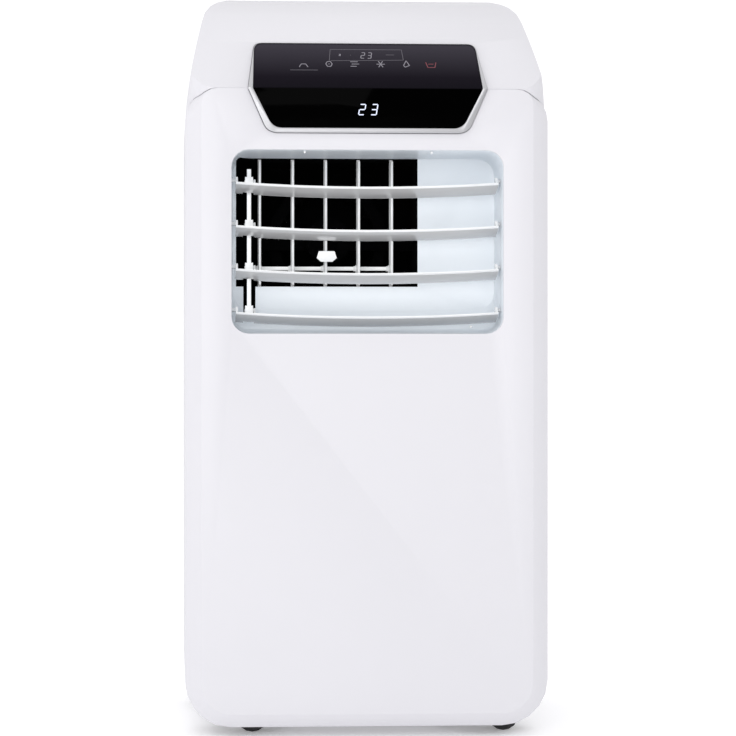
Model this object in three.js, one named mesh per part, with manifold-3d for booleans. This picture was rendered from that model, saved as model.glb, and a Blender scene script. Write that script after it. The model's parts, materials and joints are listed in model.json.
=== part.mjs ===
// Portable air conditioner: a free-standing cabinet on four castors, cut away to its working pieces.
// Millimetres. X is to the right, -Y is the front, +Z is up. The floor is Z = 0.
import * as THREE from "three";
import { mergeVertices } from "three/addons/utils/BufferGeometryUtils.js";
import Module from "manifold-3d";

const wasm = await Module();
wasm.setup();

// ---- Driving dimensions ----
const WIDTH = 340;
const DEPTH = 290;
const HEIGHT = 707;
const FLOOR_GAP = 11; // under the cabinet
const WALL = 2.5;
const GAP = 0.3; // between pieces that touch
const SEAM_Z = 606; // front panel's top edge
const PANEL_THICK = 20; // front panel, front to back
const PANEL_CHAMFER = 15; // its width in the front view
const PANEL_CHAMFER_DEPTH = 9;
const BOTTOM_RADIUS = 43; // lower corners in the front view
const SHOULDER_RADIUS = 29; // front panel's upper corners
const TOP_TAPER = 16.3; // the cap narrows by this much on each side
const TOP_CORNER = { side: 40, rise: 30 }; // the cap's upper corners in the front view
const PROUD = 2; // bezel, ahead of the panel's face
const REAR_PROUD = 8; // grilles and collar, behind the rear wall

const OPENING_WIDTH = 254;
const OPENING_BOTTOM = 378;
const OPENING_TOP = 549;
const OPENING_RADIUS = 16;
const RECESS_DEPTH = 50; // from the panel's face to the duct's back wall
const PASSAGE_LEFT = -121.5; // dark air passage in the duct's back wall
const PASSAGE_RIGHT = 52;
const PASSAGE_BOTTOM = 423.5;
const PASSAGE_TOP = 545.5;
const PASSAGE_DEPTH = 45;

const LOUVRE_COUNT = 4;
const LOUVRE_PITCH = 40.5;
const LOUVRE_LOWEST_Z = 400.5; // lowest louvre's pivot
const LOUVRE_CHORD = 26;
const LOUVRE_THICK = 2.2;
const LOUVRE_TILT = 22; // degrees, front lip up
const LOUVRE_SAG = 4.2; // each blade bows down by this much at its middle
const LOUVRE_END_GAP = { left: 4.3, right: 3 };
const PIVOT_RADIUS = 1.8;
const PIVOT_CLEARANCE = 0.3;
const CRANK_ARM = 16;
const LINK_X = -109.5;

const VANE_COUNT = 5;
const VANE_FIRST_X = -98.6;
const VANE_PITCH = 31.6;
const VANE_CHORD = 22;
const VANE_THICK = 2.6;
const VANE_CRANK = 16;

const CASTOR_RADIUS = 15;
const CASTOR_WIDTH = 20;
const CASTOR_TRAIL = 14;
const CASTOR_X = 120;
const POCKET_INNER_Y = 51; // castor pockets' inner edges, clear of the compressor's mounts

const PARTITION_Z = 330;
const PARTITION_THICK = 4;
const FAN_RADIUS = 62;
const FAN_WIDTH = 42;
const COLLAR_RADIUS = 64;
const COLLAR_X = 62;
const COLLAR_Z = 235;

// ---- Values worked out from them ----
const HALF = WIDTH / 2;
const FRONT_Y = -DEPTH / 2 + PROUD; // front panel's face
const REAR_Y = DEPTH / 2 - REAR_PROUD; // rear wall's outer face
const PANEL_BACK_Y = FRONT_Y + PANEL_THICK;
const HOUSING_Y = PANEL_BACK_Y + GAP;
const OPENING_HALF = OPENING_WIDTH / 2;
const RECESS_Y = FRONT_Y + RECESS_DEPTH;
const PASSAGE_Y = RECESS_Y + PASSAGE_DEPTH;
const LOUVRE_Y = FRONT_Y + 22; // pivots
const SKIN_Y = FRONT_Y + WALL;

// ---- Solids ----
const radians = THREE.MathUtils.degToRad;

function solidOf(geometry) {
  geometry.deleteAttribute("normal");
  geometry.deleteAttribute("uv");
  const merged = mergeVertices(geometry, 1e-4);
  return new wasm.Manifold(
    new wasm.Mesh({
      numProp: 3,
      vertProperties: merged.attributes.position.array,
      triVerts: new Uint32Array(merged.index.array),
    }),
  );
}

function geometryOf(solid) {
  const mesh = solid.getMesh();
  const geometry = new THREE.BufferGeometry();
  geometry.setAttribute("position", new THREE.BufferAttribute(mesh.vertProperties, 3));
  geometry.setIndex(new THREE.BufferAttribute(mesh.triVerts, 1));
  geometry.computeVertexNormals();
  return geometry;
}

const join = (...solids) => solids.reduce((sum, next) => sum.add(next));
const cut = (solid, ...tools) => tools.reduce((rest, tool) => rest.subtract(tool), solid);
const common = (...solids) => solids.reduce((rest, next) => rest.intersect(next));

function block(x, y, z) {
  const geometry = new THREE.BoxGeometry(x[1] - x[0], y[1] - y[0], z[1] - z[0]);
  geometry.translate((x[0] + x[1]) / 2, (y[0] + y[1]) / 2, (z[0] + z[1]) / 2);
  return solidOf(geometry);
}

// A round bar from one coordinate to another along an axis, with the other two coordinates fixed.
function bar(axis, radius, from, to, centre, sides = 20) {
  const geometry = new THREE.CylinderGeometry(radius, radius, to - from, sides);
  const middle = (from + to) / 2;
  if (axis === "x") {
    geometry.rotateZ(-Math.PI / 2);
    geometry.translate(middle, centre[0], centre[1]);
  } else if (axis === "y") {
    geometry.translate(centre[0], middle, centre[1]);
  } else {
    geometry.rotateX(Math.PI / 2);
    geometry.translate(centre[0], centre[1], middle);
  }
  return solidOf(geometry);
}

function roundedOutline(left, right, bottom, top, lowRadius, highRadius = lowRadius) {
  const shape = new THREE.Shape();
  shape.moveTo(left + lowRadius, bottom);
  shape.lineTo(right - lowRadius, bottom);
  shape.absarc(right - lowRadius, bottom + lowRadius, lowRadius, -Math.PI / 2, 0);
  shape.lineTo(right, top - highRadius);
  shape.absarc(right - highRadius, top - highRadius, highRadius, 0, Math.PI / 2);
  shape.lineTo(left + highRadius, top);
  shape.absarc(left + highRadius, top - highRadius, highRadius, Math.PI / 2, Math.PI);
  shape.lineTo(left, bottom + lowRadius);
  shape.absarc(left + lowRadius, bottom + lowRadius, lowRadius, Math.PI, Math.PI * 1.5);
  return shape;
}

function polygon(points) {
  return new THREE.Shape(points.map(([a, b]) => new THREE.Vector2(a, b)));
}

// A front-view outline (X, Z) given depth along Y.
function alongY(shape, from, to, steps = 8) {
  const options = { depth: to - from, bevelEnabled: false, curveSegments: steps };
  const geometry = new THREE.ExtrudeGeometry(shape, options);
  geometry.rotateX(Math.PI / 2);
  geometry.translate(0, to, 0);
  return solidOf(geometry);
}

// A side-view outline (Y, Z) given width along X.
function alongX(shape, from, to, steps = 8) {
  const options = { depth: to - from, bevelEnabled: false, curveSegments: steps };
  const geometry = new THREE.ExtrudeGeometry(shape, options);
  geometry.rotateX(Math.PI / 2);
  geometry.rotateZ(Math.PI / 2);
  geometry.translate(from, 0, 0);
  return solidOf(geometry);
}

// A plan outline (X, Y) given height along Z.
function alongZ(shape, from, to, steps = 8) {
  const options = { depth: to - from, bevelEnabled: false, curveSegments: steps };
  const geometry = new THREE.ExtrudeGeometry(shape, options);
  geometry.translate(0, 0, from);
  return solidOf(geometry);
}

// A closed skin over rings of equal length, front ring first, each a list of [x, y, z].
function loft(rings) {
  const count = rings[0].length;
  const points = rings.flat(2);
  const faces = [];
  for (let ring = 0; ring + 1 < rings.length; ring += 1) {
    for (let i = 0; i < count; i += 1) {
      const a = ring * count + i;
      const b = ring * count + ((i + 1) % count);
      faces.push(a, a + count, b, b, a + count, b + count);
    }
  }
  const last = (rings.length - 1) * count;
  for (const [a, b, c] of capOf(rings[0])) faces.push(a, b, c);
  for (const [a, b, c] of capOf(rings.at(-1))) faces.push(last + a, last + c, last + b);
  const geometry = new THREE.BufferGeometry();
  geometry.setAttribute("position", new THREE.Float32BufferAttribute(points, 3));
  geometry.setIndex(faces);
  return solidOf(geometry);
}

const capOf = (ring) =>
  THREE.ShapeUtils.triangulateShape(ring.map(([x, , z]) => new THREE.Vector2(x, z)), []);

function outlineRing(y, left, right, bottom, top, lowRadius, highRadius = lowRadius, steps = 5) {
  const corners = [
    [right - lowRadius, bottom + lowRadius, lowRadius, -90],
    [right - highRadius, top - highRadius, highRadius, 0],
    [left + highRadius, top - highRadius, highRadius, 90],
    [left + lowRadius, bottom + lowRadius, lowRadius, 180],
  ];
  const ring = [];
  for (const [x, z, radius, start] of corners) {
    for (let i = 0; i <= steps; i += 1) {
      const turn = radians(start + (90 * i) / steps);
      ring.push([x + radius * Math.cos(turn), y, z + radius * Math.sin(turn)]);
    }
  }
  return ring;
}

const airConditioner = new THREE.Group();

function place(name, solid, finish, parent = airConditioner) {
  const mesh = new THREE.Mesh(geometryOf(solid), finish);
  mesh.name = name;
  parent.add(mesh);
  return mesh;
}

function finishOf(color, roughness, metalness = 0) {
  return new THREE.MeshStandardMaterial({ color, roughness, metalness });
}

const whitePlastic = finishOf(0xeceaf1, 0.35);
const ductPlastic = finishOf(0xe0e8f0, 0.3);
const silver = finishOf(0xb8b8ba, 0.3, 0.8);
const blackGlass = finishOf(0x08080a, 0.08);
const blackPlastic = finishOf(0x1a1a1c, 0.5);
const greyPlastic = finishOf(0x8a8d92, 0.5);
const steel = finishOf(0xa5a8ab, 0.35, 0.9);
const blackPaint = finishOf(0x222326, 0.4);
const copper = finishOf(0xb87349, 0.3, 1);
const aluminium = finishOf(0xcfd3d6, 0.4, 0.9);
const boardGreen = finishOf(0x1d5a38, 0.5);
const filterMesh = finishOf(0xb4bcc4, 0.9);

// ---- Cabinet form: a front outline, a side profile and a plan outline, each moved in by the same inset ----
const SLOPE_RUN = 39; // the cap's sloping front goes back this far ...
const SLOPE_RISE = 48; // ... over this height
const SLOPE_LENGTH = Math.hypot(SLOPE_RUN, SLOPE_RISE);
const SLOPE_BACK = SLOPE_RUN / SLOPE_LENGTH;
const SLOPE_UP = SLOPE_RISE / SLOPE_LENGTH;
const TOP_START = 118; // behind the panel's face, where the slope has become the flat top
const REAR_TOP_RADIUS = 36;
const REAR_CORNER_RADIUS = 14;
const BASE_TOP = 58; // base pan's rim
const SKIRT_Z = SEAM_Z - SHOULDER_RADIUS; // top cover's lower edge behind the front panel

function frontOutline(inset) {
  const side = HALF - inset;
  const low = FLOOR_GAP + inset;
  const top = HEIGHT - inset;
  const radius = BOTTOM_RADIUS - inset;
  const shoulder = side - TOP_TAPER;
  const shape = new THREE.Shape();
  shape.moveTo(-side + radius, low);
  shape.lineTo(side - radius, low);
  shape.absarc(side - radius, low + radius, radius, -Math.PI / 2, 0);
  shape.lineTo(side, SKIRT_Z);
  shape.quadraticCurveTo(side - 2.5, SEAM_Z + 12, shoulder, top - TOP_CORNER.rise);
  shape.quadraticCurveTo(shoulder - 4.2, top - 1.5, shoulder - TOP_CORNER.side, top);
  shape.lineTo(-shoulder + TOP_CORNER.side, top);
  shape.quadraticCurveTo(-shoulder + 4.2, top - 1.5, -shoulder, top - TOP_CORNER.rise);
  shape.quadraticCurveTo(-side + 2.5, SEAM_Z + 12, -side, SKIRT_Z);
  shape.lineTo(-side, low + radius);
  shape.absarc(-side + radius, low + radius, radius, Math.PI, Math.PI * 1.5);
  return shape;
}

function sideOutline(inset) {
  const front = FRONT_Y + inset;
  const rear = REAR_Y - inset;
  const top = HEIGHT - inset;
  const shape = new THREE.Shape();
  shape.moveTo(front, FLOOR_GAP + inset);
  shape.lineTo(rear, FLOOR_GAP + inset);
  shape.lineTo(rear, top - REAR_TOP_RADIUS);
  shape.quadraticCurveTo(rear, top, rear - REAR_TOP_RADIUS, top);
  shape.lineTo(FRONT_Y + TOP_START, top);
  const slopeEnd = slopePoint(SEAM_Z + SLOPE_RISE * 1.15, -inset);
  shape.quadraticCurveTo(FRONT_Y + SLOPE_RUN * 2, top - 2, slopeEnd[0], slopeEnd[1]);
  shape.lineTo(...foldPoint(-inset));
  return shape;
}

// The cap's slope starts at the seam: a point above it, moved out from the surface by an offset.
function slopePoint(z, offset) {
  const along = (z - SEAM_Z) / SLOPE_UP;
  return [FRONT_Y + along * SLOPE_BACK - offset * SLOPE_UP, z + offset * SLOPE_BACK];
}

function foldPoint(offset) {
  return [FRONT_Y - offset, SEAM_Z + (offset * (1 - SLOPE_UP)) / SLOPE_BACK];
}

// The cap's front corners are rounded in plan, to flow into the front panel's shoulders.
function cabinet(inset, frontRadius = inset + 1) {
  const plan = roundedOutline(
    -HALF + inset,
    HALF - inset,
    FRONT_Y + inset,
    REAR_Y - inset,
    frontRadius - inset,
    REAR_CORNER_RADIUS - inset,
  );
  return common(
    alongY(frontOutline(inset), FRONT_Y - 1, REAR_Y + 1, 5),
    alongX(sideOutline(inset), -HALF - 1, HALF + 1, 5),
    alongZ(plan, 0, HEIGHT + 1, 3),
  );
}

const everywhere = (z) => block([-HALF - 5, HALF + 5], [-DEPTH, DEPTH], z);
const cabinetOuter = cabinet(0);
const cabinetInner = cabinet(WALL);

// ---- Control panel outline, folded over the seam ----
const LENS_LOW = 569.4;
const LENS_HIGH = 653;
const BEZEL_RIM = 4.8;
const BEZEL_TOP_RIM = 0.8; // the rim dies out at the lens's top edge

function controlOutline(rim, gap) {
  const grow = rim + gap;
  const topGrow = Math.min(rim, BEZEL_TOP_RIM) + gap;
  const low = LENS_LOW - grow;
  const high = LENS_HIGH + topGrow;
  const shape = new THREE.Shape();
  shape.moveTo(-80 - grow * 0.6, low);
  shape.lineTo(80 + grow * 0.6, low);
  shape.quadraticCurveTo(87.5 + grow, low, 91.5 + grow, low + 6.5);
  shape.lineTo(107 + grow, SEAM_Z);
  shape.lineTo(105 + topGrow, high - 8);
  shape.quadraticCurveTo(104.5 + topGrow, high, 97 + topGrow, high);
  shape.lineTo(-97 - topGrow, high);
  shape.quadraticCurveTo(-104.5 - topGrow, high, -105 - topGrow, high - 8);
  shape.lineTo(-107 - grow, SEAM_Z);
  shape.lineTo(-91.5 - grow, low + 6.5);
  shape.quadraticCurveTo(-87.5 - grow, low, -80 - grow * 0.6, low);
  return shape;
}

function foldedSheet(rim, gap, outer, inner) {
  const profile = polygon([
    [FRONT_Y - outer, LENS_LOW - 20],
    [FRONT_Y - inner, LENS_LOW - 20],
    foldPoint(inner),
    slopePoint(LENS_HIGH + 20, inner),
    slopePoint(LENS_HIGH + 20, outer),
    foldPoint(outer),
  ]);
  return common(
    alongX(profile, -HALF, HALF),
    alongY(controlOutline(rim, gap), FRONT_Y - 20, FRONT_Y + 70, 5),
  );
}

const BEZEL_BACK = -4;
const LENS_FACE = 1.1;
const LENS_BACK = -2;
const WINDOW = { x: 15, low: 577, high: 597 };

function makeControls() {
  const pocket = foldedSheet(0, GAP, PROUD + 5, LENS_BACK - GAP);
  const window = block([-WINDOW.x, WINDOW.x], [FRONT_Y - 5, FRONT_Y + 10], [WINDOW.low, WINDOW.high]);
  const bezel = cut(foldedSheet(BEZEL_RIM, 0, PROUD, BEZEL_BACK), pocket, window);
  place("control_bezel", bezel, silver);
  place("control_lens", foldedSheet(0, 0, LENS_FACE, LENS_BACK), blackGlass);
  const display = block(
    [-WINDOW.x + GAP, WINDOW.x - GAP],
    [FRONT_Y - LENS_BACK + GAP, FRONT_Y + 8],
    [WINDOW.low + GAP, WINDOW.high - GAP],
  );
  place("display_module", display, blackPlastic);
  const boardProfile = polygon([
    slopePoint(SEAM_Z + 12, BEZEL_BACK - 5),
    slopePoint(SEAM_Z + 12, BEZEL_BACK - 6.6),
    slopePoint(LENS_HIGH - 2, BEZEL_BACK - 6.6),
    slopePoint(LENS_HIGH - 2, BEZEL_BACK - 5),
  ].reverse());
  const postProfile = polygon([
    slopePoint(SEAM_Z + 20, BEZEL_BACK - GAP),
    slopePoint(SEAM_Z + 20, BEZEL_BACK - 5.5),
    slopePoint(SEAM_Z + 26, BEZEL_BACK - 5.5),
    slopePoint(SEAM_Z + 26, BEZEL_BACK - GAP),
  ].reverse());
  const posts = [-80, 80].map((x) => alongX(postProfile, x - 3, x + 3));
  place("control_board", join(alongX(boardProfile, -95, 95), ...posts), boardGreen);
}

const controlCut = foldedSheet(BEZEL_RIM, GAP, PROUD + 10, BEZEL_BACK - GAP);

// ---- Casings ----
function panelForm(inset, frontY) {
  const face = PANEL_CHAMFER + inset;
  const side = HALF - inset;
  const low = FLOOR_GAP + inset;
  const rings = [
    outlineRing(
      frontY,
      -HALF + face,
      HALF - face,
      FLOOR_GAP + PANEL_CHAMFER * 0.85 + inset,
      SEAM_Z - inset,
      BOTTOM_RADIUS - PANEL_CHAMFER,
      SHOULDER_RADIUS - PANEL_CHAMFER,
    ),
    ...[frontY + PANEL_CHAMFER_DEPTH, PANEL_BACK_Y + Math.abs(inset)].map((y) =>
      outlineRing(y, -side, side, low, SEAM_Z - inset, BOTTOM_RADIUS - inset, SHOULDER_RADIUS - inset),
    ),
  ];
  return loft(rings);
}

function makeFrontPanel() {
  const opening = roundedOutline(-OPENING_HALF, OPENING_HALF, OPENING_BOTTOM, OPENING_TOP, OPENING_RADIUS);
  const shell = cut(
    panelForm(0, FRONT_Y),
    panelForm(WALL, SKIN_Y),
    alongY(opening, FRONT_Y - 5, PANEL_BACK_Y + 5, 6),
    controlCut,
  );
  place("front_panel", shell, whitePlastic);
}

const GRIP = { y: [-35, 45], z: [520, 560], deep: 20 };
const UPPER_GRILLE = { x: [-122, 122], z: [372, 562] };
const LOWER_GRILLE = { x: [-146, -22], z: [150, 310] };
const GRILLE_RIM = 6;

function makeHousings() {
  const skirt = join(
    everywhere([SEAM_Z + GAP, HEIGHT + 1]),
    block([-HALF - 1, HALF + 1], [HOUSING_Y, REAR_Y + 1], [SKIRT_Z, HEIGHT + 1]),
  );
  const capOuter = cabinet(0, SHOULDER_RADIUS);
  const shell = cut(common(capOuter, skirt), cabinet(WALL, SHOULDER_RADIUS));
  // Two wings fill the corners outside the front panel's rounded shoulders.
  const wings = [-1, 1].map((side) =>
    block(
      sorted(side * (HALF - SHOULDER_RADIUS - 2), side * HALF),
      [FRONT_Y, HOUSING_Y + WALL],
      [SKIRT_Z, SEAM_Z + GAP + WALL],
    ),
  );
  const cap = cut(join(shell, common(capOuter, join(...wings))), panelForm(-GAP, FRONT_Y - GAP), controlCut);
  place("top_cover", cap, whitePlastic);

  const housing = cut(
    common(
      cabinetOuter,
      block([-HALF - 1, HALF + 1], [HOUSING_Y, REAR_Y + 1], [BASE_TOP + GAP, SKIRT_Z - GAP]),
    ),
    cabinetInner,
  );
  const pockets = [];
  const wells = [];
  for (const side of [-1, 1]) {
    const outer = side * (HALF + 1);
    const inner = side * (HALF - GRIP.deep);
    const wall = side * (HALF - GRIP.deep - WALL);
    wells.push(block(sorted(side * (HALF - 1), wall), grown(GRIP.y, WALL), grown(GRIP.z, WALL)));
    pockets.push(block(sorted(outer, inner), GRIP.y, GRIP.z));
  }
  const holes = [UPPER_GRILLE, LOWER_GRILLE].map((frame) =>
    block(grown(frame.x, GAP - GRILLE_RIM), [REAR_Y - 10, REAR_Y + 5], grown(frame.z, GAP - GRILLE_RIM)),
  );
  holes.push(bar("y", COLLAR_RADIUS - 6 + GAP, REAR_Y - 10, REAR_Y + 5, [COLLAR_X, COLLAR_Z], 32));
  for (const { x, z, radius } of [...DRAINS, CABLE]) {
    holes.push(bar("y", radius, REAR_Y - 10, REAR_Y + 5, [x, z], 16));
  }
  holes.push(...FILTER_SLOTS.map((slot) => block(slot.x, slot.y, slot.z)));
  holes.push(...SCREWS.map(([x, z]) => bar("y", 2.3, REAR_Y - 10, REAR_Y + 5, [x, z], 10)));
  place("rear_housing", cut(join(housing, ...wells), ...pockets, ...holes), whitePlastic);
}

const sorted = (a, b) => [Math.min(a, b), Math.max(a, b)];
const grown = ([low, high], by) => [low - by, high + by];

const DRAINS = [
  { name: "drain_cap_upper", x: 118, z: 345, radius: 9 },
  { name: "drain_cap_lower", x: 0, z: 84, radius: 9 },
];
const CABLE = { x: 122, z: 110, radius: 8 };
const FILTER = { x: [-118, HALF - 0.6], z: [378, 556], y: [REAR_Y - 15, REAR_Y - 10] };
const FILTER_SLOTS = [{ x: [HALF - 5, HALF + 1], y: grown(FILTER.y, 0.6), z: grown(FILTER.z, 0.8) }];
const SCREWS = [
  [-154, 90],
  [154, 90],
  [-154, 555],
  [154, 345],
];

// ---- Outlet duct: a pale funnel with the air passage in its back wall ----
const DUCT_WALL = 4;
const FUNNEL_INSET = { left: 2.5, right: 1.5, bottom: 24, top: 3.5 };
const FUNNEL_STEPS = 5;
const ROD_SLOT = { x: [LINK_X - 5, LINK_X + 6.5], low: 397 };

function funnel() {
  const front = SKIN_Y + GAP;
  const rings = [];
  for (let i = 0; i <= FUNNEL_STEPS; i += 1) {
    const t = i / FUNNEL_STEPS;
    const side = 1 - Math.sqrt(1 - t * t);
    const floor = 1 - Math.cbrt(1 - t ** 3);
    rings.push(
      outlineRing(
        front + (RECESS_Y - front) * t,
        -OPENING_HALF + FUNNEL_INSET.left * side,
        OPENING_HALF - FUNNEL_INSET.right * side,
        OPENING_BOTTOM + FUNNEL_INSET.bottom * floor,
        OPENING_TOP - FUNNEL_INSET.top * side,
        OPENING_RADIUS,
      ),
    );
  }
  const mouth = outlineRing(
    front - 1,
    -OPENING_HALF,
    OPENING_HALF,
    OPENING_BOTTOM,
    OPENING_TOP,
    OPENING_RADIUS,
  );
  return loft([mouth, ...rings]);
}

function makeDuct() {
  const outline = roundedOutline(
    -OPENING_HALF - DUCT_WALL,
    OPENING_HALF + DUCT_WALL,
    OPENING_BOTTOM - DUCT_WALL,
    OPENING_TOP + DUCT_WALL,
    OPENING_RADIUS + DUCT_WALL,
  );
  const cuts = [
    funnel(),
    block([PASSAGE_LEFT, PASSAGE_RIGHT], [RECESS_Y - 10, PASSAGE_Y + 1], [PASSAGE_BOTTOM, PASSAGE_TOP]),
    block(ROD_SLOT.x, [RECESS_Y - 14, PASSAGE_Y + 1], [ROD_SLOT.low, PASSAGE_BOTTOM + 1]),
    block(
      [PASSAGE_RIGHT + DUCT_WALL, OPENING_HALF + DUCT_WALL + 1],
      [RECESS_Y + DUCT_WALL, PASSAGE_Y + 1],
      [OPENING_BOTTOM - 9, OPENING_TOP + 9],
    ),
    block(
      [-OPENING_HALF - 9, OPENING_HALF + 9],
      [RECESS_Y + DUCT_WALL, PASSAGE_Y + 1],
      [OPENING_BOTTOM - 9, ROD_SLOT.low - DUCT_WALL],
    ),
  ];
  for (let i = 0; i < LOUVRE_COUNT; i += 1) {
    const height = LOUVRE_LOWEST_Z + LOUVRE_PITCH * i;
    cuts.push(bar("x", PIVOT_RADIUS + PIVOT_CLEARANCE, -HALF + 5, HALF - 5, [LOUVRE_Y, height], 8));
  }
  for (let i = 0; i < VANE_COUNT; i += 1) {
    const x = VANE_FIRST_X + VANE_PITCH * i;
    const low = PASSAGE_BOTTOM - VANE_PIN_LENGTH - 1;
    const high = PASSAGE_TOP + VANE_PIN_LENGTH + 1;
    cuts.push(bar("z", VANE_PIN_RADIUS + PIVOT_CLEARANCE, low, high, [x, VANE_Y], 8));
  }
  place("outlet_duct", cut(alongY(outline, SKIN_Y + GAP, PASSAGE_Y, 6), ...cuts), ductPlastic);
}

const VANE_Y = RECESS_Y + 13;
const VANE_PIN_RADIUS = 1.6;
const VANE_PIN_LENGTH = 4;

// ---- Louvres and the rod that ties them ----
const BLADE_LEFT = -OPENING_HALF + LOUVRE_END_GAP.left;
const BLADE_RIGHT = OPENING_HALF - LOUVRE_END_GAP.right;
const BLADE_FRONT = -11.5; // front edge, from the pivot
const BLADE_DROP = -2.5;
const PIN = 1.5;
const CLIP = { x: 3.7, y: 3.5, z: 4.5 };

function bladeSection() {
  const tilt = radians(LOUVRE_TILT);
  const half = LOUVRE_THICK / 2;
  const section = [
    [0, -half * 0.4],
    [2, -half],
    [LOUVRE_CHORD - 6, -half],
    [LOUVRE_CHORD - 2, 0],
    [LOUVRE_CHORD - 6, half],
    [2, half],
    [0, half * 0.4],
  ];
  return section.map(([along, up]) => [
    LOUVRE_Y + BLADE_FRONT + along * Math.cos(tilt) + up * Math.sin(tilt),
    BLADE_DROP - along * Math.sin(tilt) + up * Math.cos(tilt),
  ]);
}

function bladeSolid() {
  const length = BLADE_RIGHT - BLADE_LEFT;
  const options = { depth: length, steps: 8, bevelEnabled: false };
  const geometry = new THREE.ExtrudeGeometry(polygon(bladeSection()), options);
  geometry.rotateX(Math.PI / 2);
  geometry.rotateZ(Math.PI / 2);
  geometry.translate(BLADE_LEFT, 0, 0);
  const position = geometry.getAttribute("position");
  for (let i = 0; i < position.count; i += 1) {
    const reach = (2 * (position.getX(i) - BLADE_LEFT)) / length - 1;
    position.setZ(i, position.getZ(i) - LOUVRE_SAG * (1 - reach * reach));
  }
  return solidOf(geometry);
}

function makeLouvres() {
  const lugX = LINK_X + CLIP.x + 0.5;
  const notch = block([LINK_X - CLIP.x - 2.3, lugX], [LOUVRE_Y + 5, LOUVRE_Y + 30], [-30, 12]);
  const ear = polygon([
    [LOUVRE_Y - 9, BLADE_DROP - 1.5],
    [LOUVRE_Y + 8, BLADE_DROP - 7],
    [LOUVRE_Y + 4, 3],
    [LOUVRE_Y - 4, 3],
  ]);
  const lug = polygon([
    [LOUVRE_Y + 3, BLADE_DROP - 7],
    [LOUVRE_Y + 9, BLADE_DROP - 9],
    [LOUVRE_Y + CRANK_ARM + 2.4, -1.5],
    [LOUVRE_Y + CRANK_ARM + 2.4, 2],
    [LOUVRE_Y + CRANK_ARM - 2.4, 2],
  ]);
  const blade = join(
    cut(bladeSolid(), notch),
    alongX(ear, BLADE_LEFT, BLADE_LEFT + 2),
    alongX(ear, BLADE_RIGHT - 2, BLADE_RIGHT),
    bar("x", PIVOT_RADIUS, BLADE_LEFT - 5, BLADE_LEFT + 1, [LOUVRE_Y, 0], 8),
    bar("x", PIVOT_RADIUS, BLADE_RIGHT - 1, BLADE_RIGHT + 4, [LOUVRE_Y, 0], 8),
    alongX(lug, lugX, lugX + 1.8),
    bar("x", PIN, LINK_X - CLIP.x - 0.6, lugX + 1, [LOUVRE_Y + CRANK_ARM, 0], 8),
  );
  const rodY = LOUVRE_Y + CRANK_ARM;
  const first = LOUVRE_LOWEST_Z;
  const last = first + LOUVRE_PITCH * (LOUVRE_COUNT - 1);
  let rod = block([LINK_X - 1.9, LINK_X + 1.9], [rodY - 1.5, rodY + 1.5], [first, last + 12]);
  const bores = [];
  for (let i = 0; i < LOUVRE_COUNT; i += 1) {
    const height = first + LOUVRE_PITCH * i;
    const mesh = place(`louvre_${LOUVRE_COUNT - i}`, blade, whitePlastic);
    mesh.position.z = height;
    const x = [LINK_X - CLIP.x, LINK_X + CLIP.x];
    rod = join(rod, block(x, [rodY - CLIP.y, rodY + CLIP.y], [height - CLIP.z, height + CLIP.z]));
    bores.push(bar("x", PIN + PIVOT_CLEARANCE, LINK_X - 6, LINK_X + 6, [rodY, height], 8));
  }
  place("louvre_link_rod", cut(rod, ...bores), whitePlastic);
}

// ---- Vanes and the bar that ties them ----
const TAB = { vane: 2, z: [447, 457], half: 9.5, reach: 20 };
const VANE_LINK_Z = 442;
const VANE_PIN_Y = VANE_Y + VANE_CRANK;

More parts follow.
